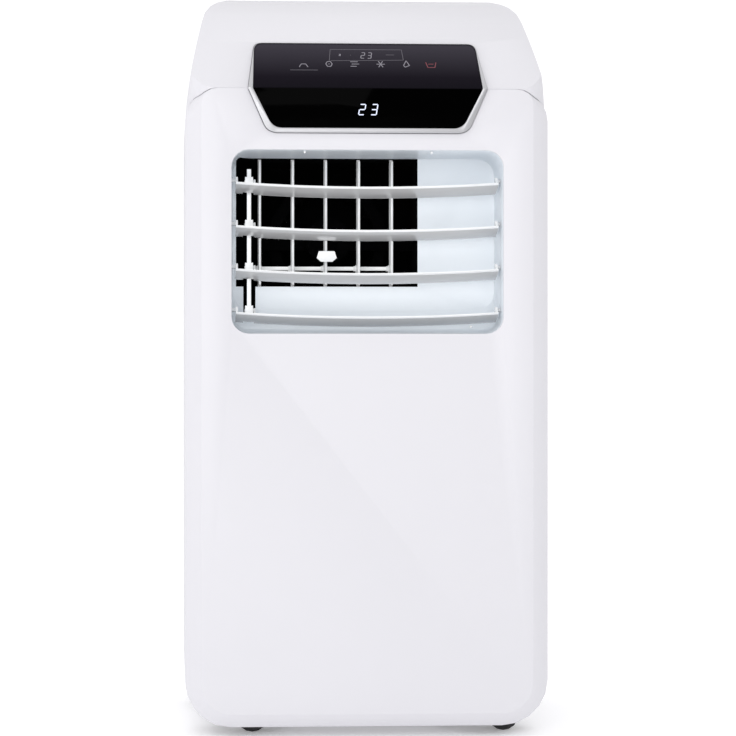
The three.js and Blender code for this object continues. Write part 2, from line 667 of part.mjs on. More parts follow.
function makeVanes() {
  const low = PASSAGE_BOTTOM + 2;
  const high = PASSAGE_TOP - 2;
  const half = VANE_THICK / 2;
  const front = VANE_Y - VANE_CHORD / 2;
  const section = polygon([
    [-half * 0.5, front],
    [half * 0.5, front],
    [half, front + 3],
    [half, front + VANE_CHORD - 5],
    [half * 0.5, front + VANE_CHORD],
    [-half * 0.5, front + VANE_CHORD],
    [-half, front + VANE_CHORD - 5],
    [-half, front + 3],
  ]);
  const last = VANE_FIRST_X + VANE_PITCH * (VANE_COUNT - 1);
  const barEnds = [VANE_FIRST_X - 2, last + 2];
  let link = block(barEnds, [VANE_PIN_Y - 1.5, VANE_PIN_Y + 1.5], [VANE_LINK_Z - 1.8, VANE_LINK_Z + 1.8]);
  const bores = [];
  for (let i = 0; i < VANE_COUNT; i += 1) {
    const x = VANE_FIRST_X + VANE_PITCH * i;
    let vane = join(
      alongZ(section, low, high),
      bar("z", VANE_PIN_RADIUS, low - 2 - VANE_PIN_LENGTH, low + 1, [0, VANE_Y], 8),
      bar("z", VANE_PIN_RADIUS, high - 1, high + 2 + VANE_PIN_LENGTH, [0, VANE_Y], 8),
      block([-half, half], [VANE_Y + 9, VANE_PIN_Y + 2], [VANE_LINK_Z - 6, VANE_LINK_Z - 3.4]),
      bar("z", PIN - 0.2, VANE_LINK_Z - 4, VANE_LINK_Z + 3.4, [0, VANE_PIN_Y], 8),
    );
    if (i === TAB.vane) {
      const middle = (TAB.z[0] + TAB.z[1]) / 2;
      const face = polygon([
        [-TAB.half, middle - 1.5],
        [-TAB.half + 4, TAB.z[0]],
        [TAB.half - 4, TAB.z[0]],
        [TAB.half, middle - 1.5],
        [TAB.half - 2, TAB.z[1]],
        [-TAB.half + 2, TAB.z[1]],
      ]);
      const stem = block([-half, half], [VANE_Y - TAB.reach + 1, front + 1], [middle - 3, middle + 3]);
      vane = join(vane, stem, alongY(face, VANE_Y - TAB.reach, VANE_Y - TAB.reach + 2.5));
    }
    place(`vane_${i + 1}`, vane, whitePlastic).position.x = x;
    const clip = [VANE_LINK_Z - 2.4, VANE_LINK_Z + 2.4];
    link = join(link, bar("z", 3.4, ...clip, [x, VANE_PIN_Y], 8));
    bores.push(bar("z", PIN - 0.2 + PIVOT_CLEARANCE, VANE_LINK_Z - 5, VANE_LINK_Z + 5, [x, VANE_PIN_Y], 8));
  }
  place("vane_link_bar", cut(link, ...bores), whitePlastic);
}

// ---- Base and castors ----
const FORK_HOOD = 2.2; // fork's hood, outside the wheels
const CROWN_Z = 2 * CASTOR_RADIUS + FORK_HOOD + 2.8; // fork's top
const POCKET = {
  radius: CASTOR_TRAIL + CASTOR_RADIUS + FORK_HOOD + 2.8,
  top: CROWN_Z + 1,
};
const CASTOR_Y = POCKET_INNER_Y + POCKET.radius;
const STEM_RADIUS = 4;
const BASE_BOLTS = [
  { name: "base_bolt_left", x: -80 },
  { name: "base_bolt_right", x: 80 },
];
const BASE_BOLT_Y = -75;
const CASTORS = [
  { name: "front_left", x: -CASTOR_X, y: -CASTOR_Y },
  { name: "front_right", x: CASTOR_X, y: -CASTOR_Y },
  { name: "rear_left", x: -CASTOR_X, y: CASTOR_Y },
  { name: "rear_right", x: CASTOR_X, y: CASTOR_Y },
];

function makeBase() {
  const lower = block([-HALF - 1, HALF + 1], [HOUSING_Y, REAR_Y + 1], [0, BASE_TOP]);
  const hollow = common(cabinetInner, block([-HALF, HALF], [HOUSING_Y + WALL, REAR_Y], [0, BASE_TOP + 9]));
  let pan = cut(common(cabinetOuter, lower), hollow);
  const holes = [];
  for (const { x, y } of CASTORS) {
    const dome = bar("z", POCKET.radius + WALL, FLOOR_GAP + 1, POCKET.top + WALL, [x, y], 16);
    pan = join(pan, common(dome, cabinetOuter, lower));
    holes.push(bar("z", POCKET.radius, 0, POCKET.top, [x, y], 16));
    holes.push(bar("z", STEM_RADIUS + PIVOT_CLEARANCE, 0, BASE_TOP, [x, y], 8));
  }
  for (const { x } of BASE_BOLTS) {
    holes.push(bar("z", 4 + GAP, 0, 30, [x, BASE_BOLT_Y], 12));
  }
  place("base_pan", cut(pan, ...holes), whitePlastic);
  for (const { name, x } of BASE_BOLTS) {
    const head = bar("z", 6.5, 2.5, FLOOR_GAP - GAP, [x, BASE_BOLT_Y], 6);
    place(name, join(head, bar("z", 4, FLOOR_GAP - 1, 22, [x, BASE_BOLT_Y], 12)), steel);
  }
}

function makeCastors() {
  const width = CASTOR_WIDTH / 2;
  const axle = [CASTOR_TRAIL, CASTOR_RADIUS];
  const neck = block([-5, CASTOR_TRAIL + 3], [-2.2, 2.2], [CASTOR_RADIUS - 3, CROWN_Z]);
  const hood = bar("y", CASTOR_RADIUS + FORK_HOOD, -width, width, axle, 16);
  const under = block([-40, 60], [-30, 30], [-30, CASTOR_RADIUS + 5]);
  const wheelSpace = bar("y", CASTOR_RADIUS + 0.8, -width - 1, width + 1, axle, 16);
  const hub = bar("y", 5, -2.2, 2.2, axle, 8);
  const pin = bar("y", 2.2, -width + 1, width - 1, axle, 8);
  const stem = bar("z", STEM_RADIUS, CROWN_Z - 2, CROWN_Z + 7, [0, 0], 8);
  const plate = bar("z", 9, CROWN_Z - 3, CROWN_Z, [0, 0], 12);
  const fork = join(cut(hood, under, wheelSpace), neck, hub, pin, stem, plate);
  const rim = (from, to) => bar("y", CASTOR_RADIUS, from, to, axle, 16);
  const bore = bar("y", 2.2 + PIVOT_CLEARANCE, -width - 2, width + 2, axle, 8);
  const groove = cut(bar("y", 30, -2.8, 2.8, axle, 8), bar("y", 3.6, -3, 3, axle, 8));
  const wheel = cut(rim(-width, width), groove, bore, bar("y", 5.6, -2.8, 2.8, axle, 8));
  const left = common(wheel, block([-60, 60], [-30, 0], [0, 60]));
  const right = common(wheel, block([-60, 60], [0, 30], [0, 60]));
  for (const { name, x, y } of CASTORS) {
    const group = new THREE.Group();
    group.position.set(x, y, 0);
    airConditioner.add(group);
    place(`castor_${name}_fork`, fork, blackPlastic, group);
    place(`castor_${name}_wheel_a`, left, blackPlastic, group);
    place(`castor_${name}_wheel_b`, right, blackPlastic, group);
  }
}

// ---- Rear fittings ----
function grille(frame, bars) {
  const outer = block(frame.x, [REAR_Y + GAP, REAR_Y + 4], frame.z);
  const collar = block(grown(frame.x, -GRILLE_RIM), [REAR_Y - 6, REAR_Y + 4], grown(frame.z, -GRILLE_RIM));
  const clear = [grown(frame.x, -GRILLE_RIM - 2), grown(frame.z, -GRILLE_RIM - 2)];
  const inner = block(clear[0], [REAR_Y - 9, REAR_Y + 9], clear[1]);
  let solid = cut(join(outer, collar), inner);
  const step = (frame.z[1] - frame.z[0]) / bars;
  for (let i = 1; i < bars; i += 1) {
    const z = frame.z[0] + step * i;
    const x = grown(frame.x, -GRILLE_RIM - 1);
    solid = join(solid, block(x, [REAR_Y - 1, REAR_Y + 3], [z - 1.5, z + 1.5]));
  }
  const middle = (frame.x[0] + frame.x[1]) / 2;
  const height = grown(frame.z, -GRILLE_RIM - 1);
  return join(solid, block([middle - 2, middle + 2], [REAR_Y - 4, REAR_Y + 1], height));
}

function ringAlongY(outer, inner, from, to, centre, sides = 24) {
  return cut(bar("y", outer, from, to, centre, sides), bar("y", inner, from - 1, to + 1, centre, sides));
}

function makeRear() {
  place("upper_intake_grille", grille(UPPER_GRILLE, 12), whitePlastic);
  place("lower_intake_grille", grille(LOWER_GRILLE, 10), whitePlastic);
  const [x0, x1] = FILTER.x;
  const frame = cut(
    block([x0, x1], FILTER.y, FILTER.z),
    block([x0 + 6, x1 - 50], grown(FILTER.y, 1), grown(FILTER.z, -6)),
  );
  const mesh = block([x0 + 3, x1 - 47], [FILTER.y[0] + 2, FILTER.y[0] + 3], grown(FILTER.z, -3));
  place("air_filter", join(frame, mesh), filterMesh);
  const centre = [COLLAR_X, COLLAR_Z];
  const collar = join(
    ringAlongY(COLLAR_RADIUS, COLLAR_RADIUS - 9, REAR_Y + GAP, REAR_Y + REAR_PROUD, centre),
    ringAlongY(COLLAR_RADIUS - 6, COLLAR_RADIUS - 9, REAR_Y - 8, REAR_Y + 2, centre),
  );
  place("exhaust_collar", collar, whitePlastic);
  for (const { name, x, z, radius } of DRAINS) {
    const cap = join(
      bar("y", radius + 2.5, REAR_Y + GAP, REAR_Y + 5, [x, z], 20),
      bar("y", radius - 0.4, REAR_Y - 7, REAR_Y + 2, [x, z], 16),
    );
    place(name, cap, greyPlastic);
  }
  const { x, z, radius } = CABLE;
  const gland = join(
    ringAlongY(radius + 3, 4, REAR_Y + GAP, REAR_Y + 3, [x, z], 12),
    ringAlongY(radius - GAP, 4, REAR_Y - 6, REAR_Y + 7, [x, z], 12),
  );
  place("cable_gland", gland, blackPlastic);
  SCREWS.forEach(([screwX, screwZ], i) => {
    const screw = join(
      bar("y", 4.2, REAR_Y + GAP, REAR_Y + 2.6, [screwX, screwZ], 12),
      bar("y", 2, REAR_Y - 9, REAR_Y + 1, [screwX, screwZ], 8),
    );
    const slot = block([screwX - 3, screwX + 3], [REAR_Y + 1.6, REAR_Y + 4], [screwZ - 0.5, screwZ + 0.5]);
    place(`rear_screw_${i + 1}`, cut(screw, slot), steel);
  });
}

// ---- Inside: upper half makes cold air, lower half throws the heat away ----
const INSIDE = HALF - WALL - GAP;
const EVAPORATOR = { x: [-118, 118], y: [62, 92], z: [356, 552] };
const CONDENSER = { x: [-148, -12], y: [92, 122], z: [148, 318] };
const UPPER_FAN = { x: -30, z: 470, from: PASSAGE_Y + 14, to: PASSAGE_Y + 14 + FAN_WIDTH };
const LOWER_FAN = { x: COLLAR_X, z: COLLAR_Z, from: 66, to: 66 + FAN_WIDTH };
const COMPRESSOR = { x: -62, y: -5, radius: 54, low: POCKET.top + WALL + 1.5, high: 228 };
const PIPE_HOLE = { x: -140, y: 60 };

function fanWheel({ x, z, from, to }, backAt) {
  const centre = [x, z];
  const blades = [];
  const count = 12;
  for (let i = 0; i < count; i += 1) {
    const blade = new THREE.BoxGeometry(14, to - from - 1, 1.4);
    blade.rotateY(0.5);
    blade.translate(FAN_RADIUS - 12, 0, 0);
    blade.rotateY((Math.PI * 2 * i) / count);
    blade.translate(x, (from + to) / 2, z);
    blades.push(solidOf(blade));
  }
  const disc = bar("y", FAN_RADIUS - 4, backAt - 1.5, backAt + 1.5, centre, 16);
  const hub = bar("y", 10, backAt - 6, backAt + 6, centre, 8);
  const rimAt = backAt === from ? to : from;
  const rim = ringAlongY(FAN_RADIUS - 3, FAN_RADIUS - 14, rimAt - 1.5, rimAt + 1.5, centre, 16);
  const bore = bar("y", 4 + GAP, backAt - 9, backAt + 9, centre, 8);
  return cut(join(disc, hub, rim, ...blades), bore);
}

function hollowBox(x, y, z, openings) {
  return cut(block(x, y, z), block(grown(x, -WALL), grown(y, -WALL), grown(z, -WALL)), ...openings);
}

function motorAlongY(fan, from, shaftTo, strapX) {
  const centre = [fan.x, fan.z];
  return join(
    bar("y", 22, from, from + 18, centre, 20),
    bar("y", 4, from + 10, shaftTo, centre, 12),
    block(strapX, [from + 4, from + 8], [fan.z - 9, fan.z + 9]),
  );
}

function makeUpperInside() {
  const x = [PASSAGE_LEFT - 10, PASSAGE_RIGHT + 8];
  const y = [PASSAGE_Y + GAP, UPPER_FAN.to + 12];
  const z = [394, 549];
  const passage = block([PASSAGE_LEFT, PASSAGE_RIGHT], [y[0] - 1, y[0] + 9], [PASSAGE_BOTTOM, PASSAGE_TOP]);
  const inlet = bar("y", FAN_RADIUS - 10, y[1] - 10, y[1] + 10, [UPPER_FAN.x, UPPER_FAN.z], 28);
  place("evaporator_fan_scroll", hollowBox(x, y, z, [passage, inlet]), greyPlastic);
  place("evaporator_fan_wheel", fanWheel(UPPER_FAN, UPPER_FAN.to), blackPlastic);
  const strap = grown(x, -WALL - GAP);
  place("evaporator_fan_motor", motorAlongY(UPPER_FAN, y[0] + 3, UPPER_FAN.to + 2, strap), steel);
  place("evaporator_coil", coil(EVAPORATOR), aluminium);
  const tray = hollowBox([-128, 128], [50, 104], [PARTITION_Z + PARTITION_THICK + GAP, 352], [
    block([-200, 200], [0, 200], [345, 400]),
  ]);
  place("drip_tray", tray, greyPlastic);
  place("electrical_box", block([70, 142], [-40, 40], [400, 530]), greyPlastic);
  place("run_capacitor", bar("z", 16, PARTITION_Z + PARTITION_THICK + GAP, 388, [110, 0], 20), aluminium);
}

// A finned block with bent tubes showing at one end.
function coil({ x, y, z }) {
  let solid = block(x, y, z);
  const bends = 3;
  const middle = (y[0] + y[1]) / 2;
  for (let i = 0; i < bends; i += 1) {
    const height = z[0] + ((z[1] - z[0]) * (i + 0.5)) / bends;
    solid = join(solid, ringAlongY(12, 6, middle - 3, middle + 3, [x[0] - 1, height], 8));
  }
  const grooves = 6;
  for (let i = 1; i < grooves; i += 1) {
    const at = x[0] + ((x[1] - x[0]) * i) / grooves;
    solid = cut(solid, block([at - 0.8, at + 0.8], [y[0] - 1, y[0] + 4], grown(z, 1)));
  }
  return solid;
}

function pipe(points, radius = 4) {
  const path = new THREE.CatmullRomCurve3(points.map((point) => new THREE.Vector3(...point)));
  const circle = new THREE.Shape();
  circle.absarc(0, 0, radius, 0, Math.PI * 2);
  const options = { steps: 14, curveSegments: 4, extrudePath: path, bevelEnabled: false };
  return solidOf(new THREE.ExtrudeGeometry(circle, options));
}

function makeLowerInside() {
  const edge = [-INSIDE, INSIDE];
  const ends = [FRONT_Y + WALL + 20, REAR_Y - WALL - 24];
  const sheet = block(edge, ends, [PARTITION_Z, PARTITION_Z + PARTITION_THICK]);
  place("partition_plate", cut(sheet, bar("z", 7, 300, 360, [PIPE_HOLE.x, PIPE_HOLE.y], 12)), aluminium);
  const { x, y, radius, low, high } = COMPRESSOR;
  const profile = [
    [0, low],
    [radius - 14, low],
    [radius, low + 12],
    [radius, high - 30],
    [radius - 12, high - 10],
    [0, high],
  ].map(([r, z]) => new THREE.Vector2(r, z));
  const can = new THREE.LatheGeometry(profile, 24);
  can.rotateX(Math.PI / 2);
  can.translate(x, y, 0);
  const feet = [0, 1, 2].map((i) => {
    const foot = new THREE.BoxGeometry(46, 24, 4);
    foot.translate(radius, 0, low + 2);
    foot.rotateZ(Math.PI / 2 + (Math.PI * 2 * i) / 3);
    foot.translate(x, y, 0);
    return solidOf(foot);
  });
  const mounts = [0, 1, 2].map((i) => {
    const turn = Math.PI / 2 + (Math.PI * 2 * i) / 3;
    const at = [x + (radius + 14) * Math.cos(turn), y + (radius + 14) * Math.sin(turn)];
    return bar("z", 8, FLOOR_GAP + WALL + 2 * GAP, low + 1, at, 8);
  });
  place("compressor", join(solidOf(can), ...feet, ...mounts), blackPaint);
  place("condenser_coil", coil(CONDENSER), aluminium);
  const scrollX = [-6, 134];
  const openings = [
    bar("y", COLLAR_RADIUS - 12, 110, 150, [LOWER_FAN.x, LOWER_FAN.z], 28),
    bar("y", FAN_RADIUS - 16, 40, 70, [LOWER_FAN.x, LOWER_FAN.z], 28),
  ];
  const scroll = hollowBox(scrollX, [54, 124], [COLLAR_Z - 72, COLLAR_Z + 72], openings);
  place("condenser_fan_scroll", scroll, greyPlastic);
  place("condenser_fan_wheel", fanWheel(LOWER_FAN, LOWER_FAN.to), blackPlastic);
  place("condenser_fan_motor", motorAlongY(LOWER_FAN, 30, 112, scrollX), steel);
  const discharge = pipe([
    [x + 10, y, high + 2],
    [x + 10, y + 4, high + 30],
    [x + 6, y + 40, high + 52],
    [x, CONDENSER.y[0] - 20, high + 40],
    [x - 4, CONDENSER.y[0] - 4, high + 20],
  ]);
  place("discharge_pipe", discharge, copper);
  const suction = pipe([
    [x - radius + 6, y + 10, high + 2],
    [x - radius - 6, y + 30, high + 40],
    [PIPE_HOLE.x, PIPE_HOLE.y, PARTITION_Z - 14],
    [PIPE_HOLE.x, PIPE_HOLE.y, PARTITION_Z + 24],
    [PIPE_HOLE.x, PIPE_HOLE.y + 8, 400],
    [-138, 77, 420],
  ]);
  place("suction_pipe", suction, copper);
}

makeFrontPanel();
makeHousings();
makeControls();
makeDuct();
makeLouvres();
makeVanes();
makeBase();
makeCastors();
makeRear();
makeUpperInside();
makeLowerInside();

export default airConditioner;
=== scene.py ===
# %% [markdown]
# # Portable air conditioner
# A white cabinet on four castors, with a black touch panel over an outlet with louvres and vanes. The engineering
# model is loaded first and never changes. Every cell after it adds a finish, or a finer piece in place of a plain one.

# %% Load the engineering model
import json
import math

import bmesh
import bpy
from mathutils import Matrix, Vector


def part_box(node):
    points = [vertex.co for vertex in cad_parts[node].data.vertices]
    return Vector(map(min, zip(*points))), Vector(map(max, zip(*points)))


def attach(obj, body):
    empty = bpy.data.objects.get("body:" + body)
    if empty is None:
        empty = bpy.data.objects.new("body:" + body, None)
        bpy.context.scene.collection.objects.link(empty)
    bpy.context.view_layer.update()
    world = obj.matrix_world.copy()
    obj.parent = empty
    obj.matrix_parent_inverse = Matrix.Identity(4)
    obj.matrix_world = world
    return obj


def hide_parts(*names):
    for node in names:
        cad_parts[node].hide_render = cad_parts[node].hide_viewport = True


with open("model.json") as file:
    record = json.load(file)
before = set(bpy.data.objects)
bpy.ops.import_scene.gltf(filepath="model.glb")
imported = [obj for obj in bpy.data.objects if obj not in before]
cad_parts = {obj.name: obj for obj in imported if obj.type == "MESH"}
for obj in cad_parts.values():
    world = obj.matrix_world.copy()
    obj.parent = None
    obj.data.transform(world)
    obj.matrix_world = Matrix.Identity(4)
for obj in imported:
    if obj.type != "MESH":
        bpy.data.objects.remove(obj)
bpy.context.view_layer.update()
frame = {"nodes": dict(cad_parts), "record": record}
MM = 0.001


# %% [markdown]
# The camera stands two metres from the front, at half the cabinet's height and five degrees to its left. It turns only
# half of that way back, and a lens shift brings the cabinet to the middle. A shift keeps level edges level, as a
# view camera does for a product shot, while the recess still shows its right wall.

# %% Camera
CAMERA_DISTANCE = 2.0
CAMERA_HEIGHT = 0.346
CAMERA_LEFT_DEGREES = 5.2
CAMERA_TURN_DEGREES = 2.6
VIEW_WIDTH = 0.683  # metres across the frame at the cabinet's front
SENSOR = 36.0


def add_camera():
    front_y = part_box("front_panel")[0][1]
    left = math.radians(CAMERA_LEFT_DEGREES)
    turn = math.radians(CAMERA_TURN_DEGREES)
    place = (-math.tan(left) * CAMERA_DISTANCE, front_y - CAMERA_DISTANCE, CAMERA_HEIGHT)
    bpy.ops.object.camera_add(location=place, rotation=(math.pi / 2, 0, -turn))
    camera = bpy.context.object
    camera.name = "camera"
    camera.data.sensor_width = SENSOR
    camera.data.lens = SENSOR * CAMERA_DISTANCE / VIEW_WIDTH
    camera.data.shift_x = math.tan(left - turn) * CAMERA_DISTANCE / VIEW_WIDTH
    bpy.context.scene.camera = camera


add_camera()
print("lens:", round(bpy.context.scene.camera.data.lens, 1), "mm")

# %% [markdown]
# Every finish is a small node tree. One helper adds a node, sets its values and makes its links, so that each
# material reads as a list of what it is made of. Colours are written as they look on a screen, and one function
# turns them to the linear values that the shader wants.

# %% Material helpers


def linear(code):
    channels = [int(code[i : i + 2], 16) / 255 for i in (1, 3, 5)]
    return tuple(c / 12.92 if c <= 0.04045 else ((c + 0.055) / 1.055) ** 2.4 for c in channels) + (1.0,)


def add_node(tree, kind, values=None, **settings):
    """A node with its settings; each value is a constant or a (node, output name) pair to link."""
    node = tree.nodes.new(kind)
    for key, setting in settings.items():
        setattr(node, key, setting)
    for key, value in (values or {}).items():
        if isinstance(value, tuple) and isinstance(value[0], bpy.types.Node):
            tree.links.new(value[0].outputs[value[1]], node.inputs[key])
        else:
            node.inputs[key].default_value = value
    return node


def new_material(name):
    material = bpy.data.materials.new(name)
    material.use_nodes = True
    tree = material.node_tree
    return material, tree, tree.nodes["Principled BSDF"]


# %% [markdown]
# Most of the cabinet is moulded ABS. A mould leaves two marks: a very fine grain that softens reflections, and slow
# waves where the plastic cooled. Both are noise in object coordinates. The grain is 0.6 mm across, a little coarser
# than the real one, so that it still shows.

# %% Moulded plastics
GRAIN_MM = 0.6
WAVE_MM = 90.0
GLOSS_SPREAD = 0.04  # how far the grain moves the roughness each way


def moulded(name, colour, roughness, grain=0.05, coat=0.0, waves=0.02, glow=0.0, shine=0.5):
    material, tree, shader = new_material(name)
    place = add_node(tree, "ShaderNodeTexCoord")
    fine = add_node(tree, "ShaderNodeTexNoise",
                    {"Vector": (place, "Object"), "Scale": 1000 / GRAIN_MM, "Detail": 3.0})
    slow = add_node(tree, "ShaderNodeTexNoise",
                    {"Vector": (place, "Object"), "Scale": 1000 / WAVE_MM, "Detail": 2.0})
    base = linear(colour)
    tone = add_node(tree, "ShaderNodeMix", {"Factor": (slow, "Fac")}, data_type="RGBA")
    tone.inputs[6].default_value = base
    tone.inputs[7].default_value = tuple(c * (1 - waves) for c in base[:3]) + (1.0,)
    gloss = add_node(tree, "ShaderNodeMapRange", {"Value": (fine, "Fac"), "To Min": roughness - GLOSS_SPREAD,
                                                  "To Max": roughness + GLOSS_SPREAD})
    bump = add_node(tree, "ShaderNodeBump", {"Height": (fine, "Fac"), "Strength": grain, "Distance": 0.0002})
    tree.links.new(tone.outputs[2], shader.inputs["Base Color"])
    tree.links.new(gloss.outputs["Result"], shader.inputs["Roughness"])
    tree.links.new(bump.outputs["Normal"], shader.inputs["Normal"])
    shader.inputs["IOR"].default_value = 1.53
    shader.inputs["Coat Weight"].default_value = coat
    shader.inputs["Specular IOR Level"].default_value = shine
    shader.inputs["Emission Color"].default_value = base
    shader.inputs["Emission Strength"].default_value = glow
    return material


white_abs = moulded("white moulded ABS", "#d4d3d8", 0.42)
duct_abs = moulded("cool white duct ABS", "#e6ecf2", 0.3)
louvre_abs = moulded("glossy white louvre ABS", "#f0f1f2", 0.14, grain=0.02, coat=0.6)
# Painted shade: the louvres' downward faces take this grey copy of the louvre white.
louvre_painted_shade = moulded("painted shade on louvre underside", "#b9b9ba", 0.10, grain=0.02, coat=0.8)
# Painted light: a faint glow of its own brightens the vanes, the link rod and the link bar where they stand in shade.
vane_painted_glow = moulded("white vane ABS with painted glow", "#f4f5f6", 0.2, grain=0.02, glow=0.12)
# Painted shade: near-black that stands for the shade deep in the outlet.
cavity_painted_shade = moulded("painted black shade of the outlet", "#010102", 0.9, grain=0.1, shine=0.05)
black_abs = moulded("black ABS", "#17171a", 0.45, grain=0.15)
grey_abs = moulded("grey ABS", "#85888d", 0.5, grain=0.15)
castor_nylon = moulded("black castor nylon", "#1b1b1d", 0.38, grain=0.1)
print("plastics ready")

# %% [markdown]
# Metal shows its making more than its colour. Plated trim is polished and only slightly uneven. Rolled aluminium and
# drawn tube are streaked along one axis, made by stretching the noise. Metals keep the default IOR.

# %% Metals, glass and the rest


def metal(name, colour, roughness, streak=(1, 1, 1), spread=0.08):
    material, tree, shader = new_material(name)
    place = add_node(tree, "ShaderNodeTexCoord")
    stretch = add_node(tree, "ShaderNodeMapping", {"Vector": (place, "Object"), "Scale": streak})
    noise = add_node(tree, "ShaderNodeTexNoise", {"Vector": (stretch, "Vector"), "Scale": 900.0, "Detail": 3.0})
    gloss = add_node(tree, "ShaderNodeMapRange", {"Value": (noise, "Fac"), "To Min": roughness - spread,
                                                  "To Max": roughness + spread})
    bump = add_node(tree, "ShaderNodeBump", {"Height": (noise, "Fac"), "Strength": 0.06, "Distance": 0.0001})
    tree.links.new(gloss.outputs["Result"], shader.inputs["Roughness"])
    tree.links.new(bump.outputs["Normal"], shader.inputs["Normal"])
    shader.inputs["Base Color"].default_value = linear(colour)
    shader.inputs["Metallic"].default_value = 1.0
    return material


# Height in metres, and colour there: the lower facet is the acrylic's own black, and the upper facet's grey, lightest
# at its top, is a painted reflection of the bright light above.
LENS_PAINTED_REFLECTION = (
    (0.6058, "#000000"),
    (0.6070, "#131117"),
    (0.6180, "#17141b"),
    (0.6550, "#3b3840"),
)


def polished_acrylic(name):
    """Black acrylic: near perfect gloss, with the faint orange peel of a moulded lens, and a painted reflection that
    greys the upper facet towards its top.
    """
    material, tree, shader = new_material(name)
    place = add_node(tree, "ShaderNodeTexCoord")
    peel = add_node(tree, "ShaderNodeTexNoise", {"Vector": (place, "Object"), "Scale": 60.0, "Detail": 1.0})
    bump = add_node(tree, "ShaderNodeBump", {"Height": (peel, "Fac"), "Strength": 0.03, "Distance": 0.0005})
    gloss = add_node(tree, "ShaderNodeMapRange", {"Value": (peel, "Fac"), "To Min": 0.04, "To Max": 0.08})
    tree.links.new(bump.outputs["Normal"], shader.inputs["Normal"])
    tree.links.new(gloss.outputs["Result"], shader.inputs["Roughness"])
    # Painted reflection: the base colour follows height, while the real reflection is kept very weak.
    split = add_node(tree, "ShaderNodeSeparateXYZ", {"Vector": (place, "Object")})
    low, high = LENS_PAINTED_REFLECTION[0][0], LENS_PAINTED_REFLECTION[-1][0]
    height = add_node(tree, "ShaderNodeMapRange", {"Value": (split, "Z"), "From Min": low, "From Max": high})
    ramp = add_node(tree, "ShaderNodeValToRGB", {"Fac": (height, "Result")})
    stops = ramp.color_ramp.elements
    stops[0].color, stops[-1].color = linear(LENS_PAINTED_REFLECTION[0][1]), linear(LENS_PAINTED_REFLECTION[-1][1])
    for z, tone in LENS_PAINTED_REFLECTION[1:-1]:
        stops.new((z - low) / (high - low)).color = linear(tone)
    tree.links.new(ramp.outputs["Color"], shader.inputs["Base Color"])
    shader.inputs["IOR"].default_value = 1.49
    shader.inputs["Specular IOR Level"].default_value = 0.01
    return material


def printed_ink(name, colour, glow):
    """Ink or a lit segment behind the lens: a soft even colour with a little glow, the segments' own light on the
    display and painted light on the printed inks.
    """
    material, tree, shader = new_material(name)
    place = add_node(tree, "ShaderNodeTexCoord")
    speckle = add_node(tree, "ShaderNodeTexNoise", {"Vector": (place, "Object"), "Scale": 2500.0})
    gloss = add_node(tree, "ShaderNodeMapRange", {"Value": (speckle, "Fac"), "To Min": 0.35, "To Max": 0.55})
    tree.links.new(gloss.outputs["Result"], shader.inputs["Roughness"])
    shader.inputs["Base Color"].default_value = linear(colour)
    shader.inputs["Emission Color"].default_value = linear(colour)
    shader.inputs["Emission Strength"].default_value = glow
    return material


def striped(name, light, dark, pitch_mm, axis, roughness, metallic=0.0):
    """Thin fins or a woven mesh drawn as fine bands across one axis."""
    material, tree, shader = new_material(name)
    place = add_node(tree, "ShaderNodeTexCoord")
    # A wave texture repeats every 0.314 units at scale 1.
    bands = add_node(tree, "ShaderNodeTexWave", {"Vector": (place, "Object"), "Scale": 314.0 / pitch_mm},
                     bands_direction=axis)
    ramp = add_node(tree, "ShaderNodeValToRGB", {"Fac": (bands, "Fac")})
    ramp.color_ramp.elements[0].color = linear(dark)
    ramp.color_ramp.elements[1].color = linear(light)
    bump = add_node(tree, "ShaderNodeBump", {"Height": (bands, "Fac"), "Strength": 0.6, "Distance": 0.0006})
    tree.links.new(ramp.outputs["Color"], shader.inputs["Base Color"])
    tree.links.new(bump.outputs["Normal"], shader.inputs["Normal"])
    shader.inputs["Roughness"].default_value = roughness
    shader.inputs["Metallic"].default_value = metallic
    return material


plated_trim = metal("satin plated trim", "#aeaeb1", 0.42)
zinc_steel = metal("zinc plated steel", "#a9acb0", 0.38)
rolled_aluminium = metal("rolled aluminium", "#cdd1d4", 0.36, streak=(1, 12, 12))
drawn_copper = metal("drawn copper", "#c07a50", 0.28, streak=(6, 6, 1))
black_enamel = moulded("black enamelled steel", "#1f2023", 0.35, grain=0.03, coat=0.4)
painted_reflection_lens = polished_acrylic("polished black acrylic")
board_laminate = moulded("green board laminate", "#1d5a38", 0.45, grain=0.05)
coil_fins = striped("aluminium coil fins", "#c5cacd", "#4d5256", 2.4, "X", 0.45, 0.8)
filter_weave = striped("woven nylon filter", "#aeb6bd", "#59626a", 2.0, "Z", 0.85)
# Painted light: the inks' small glow brightens the printed marks.
white_ink = printed_ink("grey white print", "#7c7982", 0.12)
faint_ink = printed_ink("faint grey print", "#4e4b54", 0.05)
red_ink = printed_ink("dark red print", "#6b2530", 0.2)
lit_segment = printed_ink("lit display segment", "#c3cade", 0.6)
print("materials:", len(bpy.data.materials))

# %% [markdown]
# The engineering solids have sharp edges, but nothing that leaves a mould or a press does. Each one that shows gets a
# softened copy: the loose triangles are merged, flat runs dissolved, and a small bevel rounds what is sharp.
# The bevel is the difference between a drawing and a thing, because a rounded edge catches the light.

# %% Softened copies
SAME_POINT = 1e-6
FLAT_DEGREES = 0.4  # faces that meet at less than this are one face
BODY_OF = {node: body for body, nodes in frame["record"]["behaviour"]["bodies"].items() for node in nodes}


def only(piece):
    bpy.ops.object.select_all(action="DESELECT")
    piece.select_set(True)
    bpy.context.view_layer.objects.active = piece


def smooth(piece, angle=35):
    only(piece)
    bpy.ops.object.shade_smooth_by_angle(angle=math.radians(angle))


def apply_modifiers(piece):
    only(piece)
    for name in [modifier.name for modifier in piece.modifiers]:
        bpy.ops.object.modifier_apply(modifier=name)


